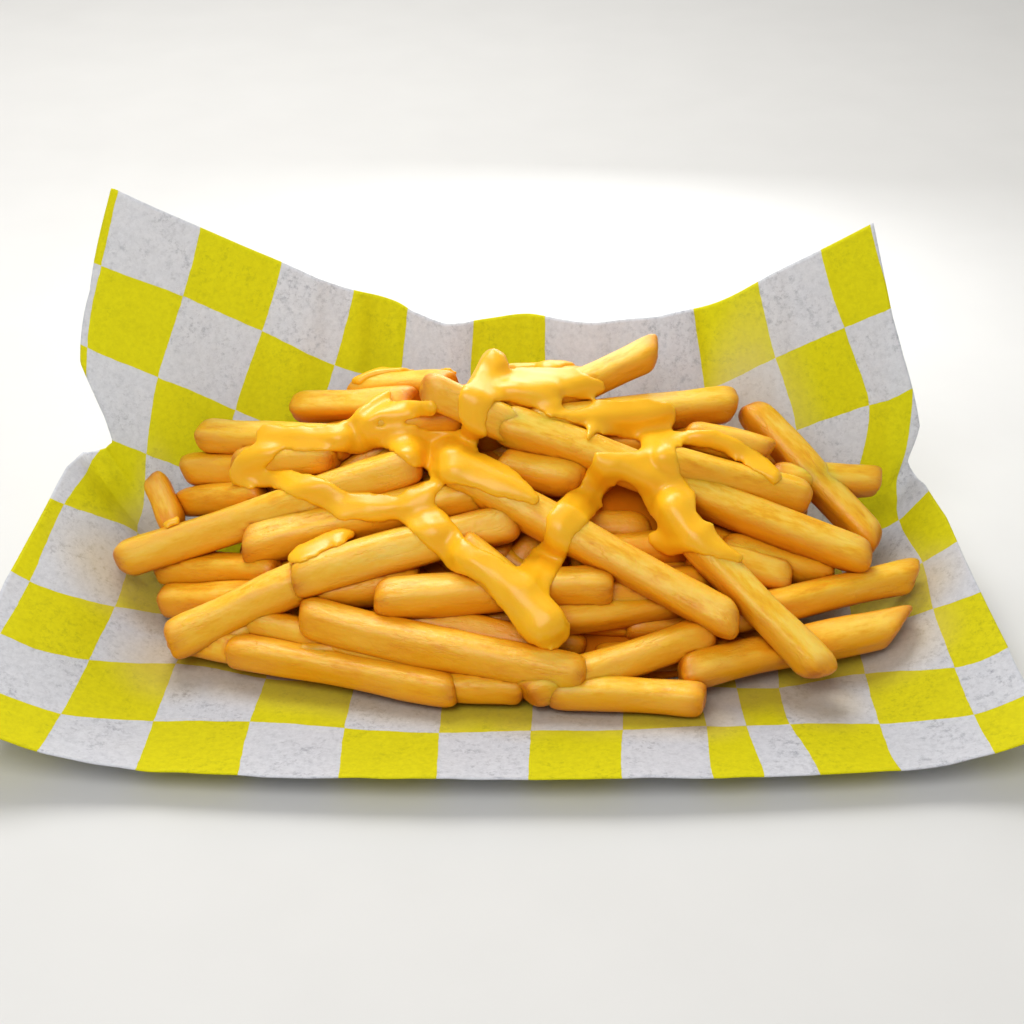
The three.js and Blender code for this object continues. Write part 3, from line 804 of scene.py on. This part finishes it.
class Tree(Graph):
    """A geometry node tree with named inputs."""

    def __init__(self, name, inputs):
        super().__init__(bpy.data.node_groups.new(name, "GeometryNodeTree"))
        face = self.tree.interface
        face.new_socket(name="Geometry", in_out="INPUT", socket_type="NodeSocketGeometry")
        self.names = {}
        for label, kind in inputs.items():
            made = face.new_socket(name=label, in_out="INPUT", socket_type=kind)
            self.names[label] = made.identifier
        face.new_socket(name="Geometry", in_out="OUTPUT", socket_type="NodeSocketGeometry")
        self.start = self.tree.nodes.new("NodeGroupInput")
        self.result = self.tree.nodes.new("NodeGroupOutput")

    def given(self, label):
        return Field(self, self.start.outputs[label])

    def moved(self, geometry, vector, size):
        """The geometry moved along a vector, as far as size tells."""
        values = {0: vector, "Scale": size}
        offset = self.node("ShaderNodeVectorMath", {"operation": "SCALE"}, values)
        return self.node("GeometryNodeSetPosition", {}, {"Geometry": geometry, "Offset": offset})

    def named(self, name, kind="FLOAT"):
        return self.node("GeometryNodeInputNamedAttribute", {"data_type": kind}, {"Name": name})

    def store(self, geometry, name, value):
        values = {"Geometry": geometry, "Name": name, "Value": value}
        return self.node("GeometryNodeStoreNamedAttribute", {"data_type": "FLOAT_VECTOR"}, values)

    def put_on(self, piece, **values):
        """Runs the tree on a piece with the named inputs set, and keeps the result as a plain mesh."""
        run = piece.modifiers.new(self.tree.name, "NODES")
        run.node_group = self.tree
        for label, value in values.items():
            run[self.names[label.replace("_", " ")]] = value
        return plain_mesh(piece)


def fry_tree():
    """Sweeps a rounded square along each fry's line, shears its cut ends and roughens its skin."""
    t = Tree("fries along their lines", {
        "Profile": "NodeSocketObject",
        "Streak Height": "NodeSocketFloat",
        "Blister Height": "NodeSocketFloat",
        "Material": "NodeSocketMaterial",
    })
    line = t.node("GeometryNodeMeshToCurve", {}, {"Mesh": t.given("Geometry")})
    line = t.node("GeometryNodeSetCurveTilt", {}, {"Curve": line, "Tilt": t.named("turn")})
    line = t.store(line, "middle", t.node("GeometryNodeInputPosition"))
    line = t.store(line, "way", t.node("GeometryNodeInputTangent"))
    profile = t.node("GeometryNodeObjectInfo", {}, {"Object": t.given("Profile")}, "Geometry")
    profile = t.node("GeometryNodeMeshToCurve", {}, {"Mesh": profile})
    sweep = {"Curve": line, "Profile Curve": profile, "Scale": t.named("half"), "Fill Caps": True}
    body = t.node("GeometryNodeCurveToMesh", {}, sweep)
    way = t.named("way", "FLOAT_VECTOR")
    middle = t.named("middle", "FLOAT_VECTOR")
    out = t.vector("SUBTRACT", t.node("GeometryNodeInputPosition"), middle)
    sideways = t.vector("NORMALIZE", t.vector("CROSS_PRODUCT", (0.0, 0.0, 1.0), way))
    upwards = t.vector("CROSS_PRODUCT", way, sideways)
    u = t.vector("DOT_PRODUCT", out, sideways, out="Value")
    v = t.vector("DOT_PRODUCT", out, upwards, out="Value")
    body = t.moved(body, way, t.named("slant") * (u + v * 0.5))
    streak = t.node("ShaderNodeCombineXYZ", {}, {
        "X": t.named("along") * 0.2,
        "Y": u * 1000.0,
        "Z": v * 1000.0 + t.named("fry") * 37.0,
    })
    body = t.store(body, "streak", streak)
    skin = t.named("streak", "FLOAT_VECTOR")
    lift = (t.noise(skin, 0.45, 2.0) - 0.5) * t.given("Blister Height")
    lift = lift + (t.noise(skin, 0.14, 1.0) - 0.5) * t.given("Streak Height")
    body = t.moved(body, t.node("GeometryNodeInputNormal"), lift)
    body = t.node("GeometryNodeSetShadeSmooth", {}, {"Geometry": body})
    body = t.node("GeometryNodeRealizeInstances", {}, {"Geometry": body})
    body = t.node("GeometryNodeSetMaterial", {}, {"Geometry": body, "Material": t.given("Material")})
    t.put(t.result.inputs["Geometry"], body)
    return t


def fry_profile():
    """A rounded square of unit half width, with how near each point is to a corner."""
    points, corner = [], []
    peak = 2 ** (0.5 - 1 / FRY_CORNERS) - 1
    for j in range(FRY_SIDES):
        a = (j + 0.5) / FRY_SIDES * 2 * math.pi
        c, s = math.cos(a), math.sin(a)
        k = (abs(c) ** FRY_CORNERS + abs(s) ** FRY_CORNERS) ** (-1 / FRY_CORNERS)
        points.append((c * k, s * k, 0))
        corner.append(max(0.0, (math.hypot(c * k, s * k) - 1.0) / peak) ** 1.5)
    mesh = bpy.data.meshes.new("fry profile")
    mesh.from_pydata(points, [(j, (j + 1) % FRY_SIDES) for j in range(FRY_SIDES)], [])
    store_values(mesh, "corner", corner)
    return bpy.data.objects.new("fry profile", mesh)


def fry_stations(length, roundness):
    """Places along a fry and its size there. Its ends are cut square (0) or round (1)."""
    places = (0.0, 0.1, 0.4, 0.95, 1.7, 2.8, 4.2)
    cut = (0.5, 0.66, 0.79, 0.885, 0.945, 0.98, 0.99)
    rounded = (0.16, 0.27, 0.45, 0.62, 0.76, 0.885, 0.975)
    ends = [[(d, mix(a, b, share)) for d, a, b in zip(places, cut, rounded)] for share in roundness]
    inner = np.linspace(6.0, length - 6.0, max(6, int(length / 2.6)))
    return ends[0] + [(float(d), 1.0) for d in inner] + [(length - d, k) for d, k in reversed(ends[1])]


def make_fries(name, lines, first, material):
    points, edges, values = [], [], []
    for n, (ax, ay, az, bx, by, bz, thick) in enumerate(lines):
        i = first + n
        start, stop = np.array([ax, ay, az], float), np.array([bx, by, bz], float)
        length = float(np.linalg.norm(stop - start))
        way = (stop - start) / length
        sideways = np.cross([0, 0, 1], way)
        sideways /= np.linalg.norm(sideways)
        upwards = np.cross(way, sideways)
        bow = length * BEND * (draw(i, 2) - 0.5) * 2
        kink = length * 0.012 * (draw(i, 7) - 0.5)
        turn = (draw(i, 1) - 0.5) * 1.1
        twist = (draw(i, 8) - 0.5) * 0.5
        half = thick / 2 * 0.97
        taper = 0.1 * (draw(i, 9) - 0.5)
        slants = CUTS.get(i, [(draw(i, 4 + k) - 0.5) * 0.9 for k in (0, 5)])
        stations = fry_stations(length, ROUND_ENDS.get(i, (0.75 * draw(i, 13), 0.75 * draw(i, 14))))
        base = len(points)
        for k, (d, size) in enumerate(stations):
            share = d / length
            wave = 1 + 0.035 * math.sin(9 * share + 6 * draw(i, 10)) + taper * (share - 0.5)
            q = start + way * d + sideways * (bow * math.sin(math.pi * share))
            q = q + upwards * (kink * math.sin(2 * math.pi * share))
            points.append(q)
            near = [max(0.0, 1 - away / SLANT_REACH) for away in (d, length - d)]
            values.append((
                half * size * wave * MM,
                turn + twist * share,
                slants[0] * near[0] + slants[1] * near[1],
                d,
                float(i),
                draw(i, 12),
                max(0.0, 1 - min(d, length - d) / END_REACH) ** 1.3,
            ))
            if k:
                edges.append((base + k - 1, base + k))
    piece = mesh_object(name, points, edges, [])
    for key, numbers in zip(("half", "turn", "slant", "along", "fry", "tone", "end"), zip(*values)):
        store_values(piece.data, key, numbers)
    heights = {"Streak_Height": STREAK_HEIGHT * MM, "Blister_Height": BLISTER_HEIGHT * MM}
    fry_tree().put_on(piece, Profile=fry_profile(), Material=material, **heights)
    return own_piece(piece, "fries_heap")


class Heap:
    """The made fries as one body that lines of sight are cast onto."""

    def __init__(self, pieces):
        points, faces, numbers = [], [], []
        for piece in pieces:
            mesh = piece.data
            base = len(points)
            points += [v.co.copy() for v in mesh.vertices]
            fry = mesh.attributes.get("fry")
            for face in mesh.polygons:
                faces.append([base + k for k in face.vertices])
                numbers.append(round(fry.data[face.vertices[0]].value) if fry else -1)
        self.tree = BVHTree.FromPolygons(points, faces)
        self.numbers = numbers

    def meet(self, starts, ways, wanted):
        """How far along each wanted line the heap lies, and the number of the fry that is met."""
        reach = np.full(wanted.shape, np.nan)
        number = np.full(wanted.shape, -2)
        for r, c in zip(*np.nonzero(wanted)):
            start = Vector((starts[r, c] + CENTRE) * MM)
            place, _, face, distance = self.tree.ray_cast(start, Vector(ways[r, c]))
            if place is not None:
                reach[r, c] = distance / MM / np.linalg.norm(ways[r, c])
                number[r, c] = self.numbers[face]
        return reach, number

    def openness(self, piece, lines=SKY_LINES):
        """Stores how open each point of a piece lies to the sky: 1 on a free top, 0 deep in a gap. The
        fries' and the sauce's colours paint shade from it, the fries' also a highlight.
        """
        ways = []
        for k in range(lines):
            up = 1 - (k + 0.5) / lines
            out, turn = math.sqrt(1 - up * up), k * GOLDEN_TURN
            ways.append(Vector((out * math.cos(turn), out * math.sin(turn), up)))
        full = sum(way.z for way in ways)
        values = []
        for point in piece.data.vertices:
            start = point.co + point.normal * (0.4 * MM)
            seen = 0.0
            for way in ways:
                facing = way.dot(point.normal)
                if facing > 0 and self.tree.ray_cast(start, way, OPEN_REACH * MM)[0] is None:
                    seen += facing
            values.append(seen / full)
        store_values(piece.data, "open", values)


def sight_lines(columns, rows):
    """The photograph's lines of sight through a grid of picture places."""
    down = math.radians(LOOK_DOWN)
    ahead = np.array([0, math.cos(down), -math.sin(down)])
    above = np.array([0, math.sin(down), math.cos(down)])
    u, v = np.meshgrid(columns, rows)
    ways = ahead + above * ((PICTURE_MIDDLE - v) / FOCAL)[..., None]
    ways[..., 0] += (u - PICTURE_MIDDLE) / FOCAL
    return np.broadcast_to(np.array(EYE), ways.shape), ways


def plumb_lines(xs, ys):
    """Lines straight down through a grid of places."""
    x, y = np.meshgrid(xs, ys)
    starts = np.stack([x, y, np.full(x.shape, 130.0)], -1)
    return starts, np.broadcast_to(np.array([0.0, 0.0, -1.0]), starts.shape)


def strand_depth(strands, columns, rows, softness, wander):
    """How far inside the strands each place lies; webs form where strands meet."""
    px, py = np.meshgrid(columns, rows)
    total = np.zeros(px.shape)
    for strand in strands:
        best = np.full(px.shape, -1e3)
        for (ax, ay, aw), (bx, by, bw) in zip(strand, strand[1:]):
            off, t = line_distance(px, py, (ax, ay), (bx, by))
            best = np.maximum(best, mix(aw, bw, t) / 2 - off)
        total += np.exp(np.clip(best / softness, -30, 30))
    depth = softness * np.log(np.maximum(total, 1e-12))
    return depth + wander * (grid_noise(px.shape, (16, 34), 8) + 0.5 * grid_noise(px.shape, (36, 76), 9))


def neighbours(values):
    """The four neighbours of each place of a grid."""
    return [np.roll(values, shift, axis) for axis in (0, 1) for shift in (-1, 1)]


def edge_distance(inside, steps=14):
    """How many cells each inside place lies from the outside, up to the number of steps."""
    distance = np.where(inside, 99.0, 0.0)
    for step in range(steps):
        near = [beside + 1 for beside in neighbours(distance)]
        near += [np.roll(distance, (a, b), (0, 1)) + 1.414 for a in (1, -1) for b in (1, -1)]
        distance = np.minimum(distance, np.minimum.reduce(near))
    return np.minimum(distance, steps)


def drape(reach, inside):
    """A taut skin that lies on the heap and spans its narrow gaps, as a distance along the lines."""
    skin = np.where(inside, reach, 0)
    count = sum(neighbours(inside.astype(float)))
    for step in range(SAUCE_SETTLES):
        average = sum(neighbours(np.where(inside, skin, 0))) / np.maximum(count, 1)
        skin = np.where(inside & (count > 0), np.minimum(reach, average + SAUCE_SAG), skin)
    return skin


def filled(values, inside, steps=3):
    """The inside values carried a few places outwards."""
    known = inside.astype(float)
    values = np.where(inside[..., None], values, 0)
    for step in range(steps):
        near = sum(neighbours(known))
        carried = sum(neighbours(values))
        fresh = (known == 0) & (near > 0)
        values = np.where(fresh[..., None], carried / np.maximum(near, 1)[..., None], values)
        known = np.where(fresh, 1.0, known)
    return values


def sauce_patch(heap, starts, ways, depth, cell, lump_seed, bare=None):
    """The sauce's upper and lower skin over the places where depth is above 0, both in millimetres."""
    inside = depth > 0
    reach, number = heap.meet(starts, ways, inside)
    inside &= ~np.isnan(reach)
    if bare is not None:
        inside &= ~bare(number)
    inside &= sum(neighbours(inside.astype(int))) >= 2
    reach = np.where(inside, reach, 0)
    within = np.minimum(np.maximum(depth, 0.2), edge_distance(inside) * cell)
    skin = drape(reach, inside)
    places = filled(starts + ways * skin[..., None], inside)
    normal = np.cross(np.gradient(places, axis=1), np.gradient(places, axis=0))
    normal /= np.maximum(np.linalg.norm(normal, axis=-1), 1e-9)[..., None]
    normal *= -np.sign((normal * ways).sum(-1))[..., None]
    for step in range(4):
        normal = normal + sum(neighbours(normal))
        normal /= np.maximum(np.linalg.norm(normal, axis=-1), 1e-9)[..., None]
    rolled = np.sqrt(np.clip(1 - (1 - np.clip(within / SAUCE_EDGE, 0, 1)) ** 2, 0, 1))
    lumps = 1 + 0.25 * grid_noise(depth.shape, (14, 30), lump_seed)
    thick = (SAUCE_THICK + SAUCE_SWELL * np.minimum(within, 5)) * rolled * lumps
    upper = places + normal * thick[..., None]
    lower = places + ways / np.linalg.norm(ways, axis=-1)[..., None] * SAUCE_SINK
    return upper[inside], lower[inside], inside


def skin_faces(inside, base):
    """Faces over the upper and lower skin of a patch and round its rim."""
    count = int(inside.sum())
    index = -np.ones(inside.shape, int)
    index[inside] = base + np.arange(count)
    faces, rim = [], set()
    for r, c in zip(*np.nonzero(inside[:-1, :-1] & inside[1:, :-1] & inside[:-1, 1:] & inside[1:, 1:])):
        corners = [int(k) for k in (index[r, c], index[r, c + 1], index[r + 1, c + 1], index[r + 1, c])]
        faces.append(tuple(corners))
        faces.append(tuple(k + count for k in reversed(corners)))
        for a, b in zip(corners, corners[1:] + corners[:1]):
            if (b, a) in rim:
                rim.remove((b, a))
            else:
                rim.add((a, b))
    faces += [(b, a, a + count, b + count) for a, b in sorted(rim)]
    return faces


def make_sauce(heap):
    """Thick sauce in strands that cling to the fries they cross and web together where they meet."""
    columns, rows = (np.arange(*span, SAUCE_STEP) for span in (SAUCE_COLUMNS, SAUCE_ROWS))
    picture_mm = SIGHT / FOCAL

    def bare(number):
        u = np.broadcast_to(columns, number.shape)
        clear = [(number == fry) & (u >= low) & (u < high) for fry, low, high in BARE]
        return np.logical_or.reduce(clear)

    depth = strand_depth(STRANDS, columns, rows, 2.2, 1.6) * picture_mm + SAUCE_SPREAD
    depth = np.minimum(depth, -strand_depth(OPENINGS, columns, rows, 1.0, 0.8) * picture_mm)
    front = sauce_patch(heap, *sight_lines(columns, rows), depth, SAUCE_STEP * picture_mm, 12, bare)
    xs, ys = np.arange(-60, 64, FAR_CELL), np.arange(32, 64, FAR_CELL)
    depth = strand_depth(FAR_STRANDS, xs, ys, 0.8, 0.5)
    far = sauce_patch(heap, *plumb_lines(xs, ys), depth, FAR_CELL, 13)
    points, faces = np.zeros((0, 3)), []
    for upper, lower, inside in (front, far):
        faces += skin_faces(inside, len(points))
        points = np.concatenate([points, upper, lower])
    piece = mesh_object("cheese_sauce", points, [], faces)
    piece.data.materials.append(cheese_sauce())
    remesh = piece.modifiers.new("even skin", "REMESH")
    remesh.mode = "VOXEL"
    remesh.voxel_size = SAUCE_VOXEL * MM
    remesh.use_smooth_shade = True
    soften = piece.modifiers.new("soften", "SMOOTH")
    soften.factor = 0.5
    soften.iterations = 6
    plain_mesh(piece)
    heap.openness(piece, 12)
    return own_piece(piece, "fries_heap")


def make_camera():
    """The photograph's viewing angle: straight on, looking down at the heap."""
    camera = bpy.data.cameras.new("camera")
    camera.sensor_width = SENSOR
    camera.lens = LENS
    holder = placed("camera", camera)
    holder.location = (Vector(CENTRE) + Vector(EYE)) * MM
    holder.rotation_euler = (math.radians(90 - LOOK_DOWN), 0.0, 0.0)
    bpy.context.scene.camera = holder


def area_light(name, place, aim, size, power, colour):
    lamp = bpy.data.lights.new(name, "AREA")
    lamp.shape = "DISK"
    lamp.size = size
    lamp.energy = power
    lamp.color = colour
    holder = placed(name, lamp)
    holder.location = place
    holder.rotation_euler = (Vector(aim) - Vector(place)).to_track_quat("-Z", "Y").to_euler()
    holder.visible_camera = False


def make_studio():
    floor = bpy.data.meshes.new("floor")
    corners = [(x * FLOOR_REACH, y * FLOOR_REACH, 0) for x, y in ((-1, -1), (1, -1), (1, 1), (-1, 1))]
    floor.from_pydata(corners, [], [(0, 1, 2, 3)])
    floor.materials.append(plain_floor())
    holder = placed("floor", floor)
    holder.location.z = -FLOOR_BELOW
    world = bpy.data.worlds.new("studio")
    world.use_nodes = True
    sky = world.node_tree.nodes["Background"].inputs
    sky["Color"].default_value = (*WARM_WHITE, 1.0)
    sky["Strength"].default_value = 0.36
    bpy.context.scene.world = world
    for lamp in LAMPS:
        area_light(*lamp)


bpy.context.scene.view_settings.view_transform = "Standard"
make_camera()
make_studio()
lines = back_fries() + FRIES
potato = fried_potato()
core = make_mound()
deep = make_fries("inner_fries", hidden_fries(), 100, potato)
fries = make_fries("fries", lines, 0, potato)
heap = Heap([core, deep, fries])
for piece in (core, deep, fries):
    heap.openness(piece)
make_sauce(heap)
make_sheet(lines)
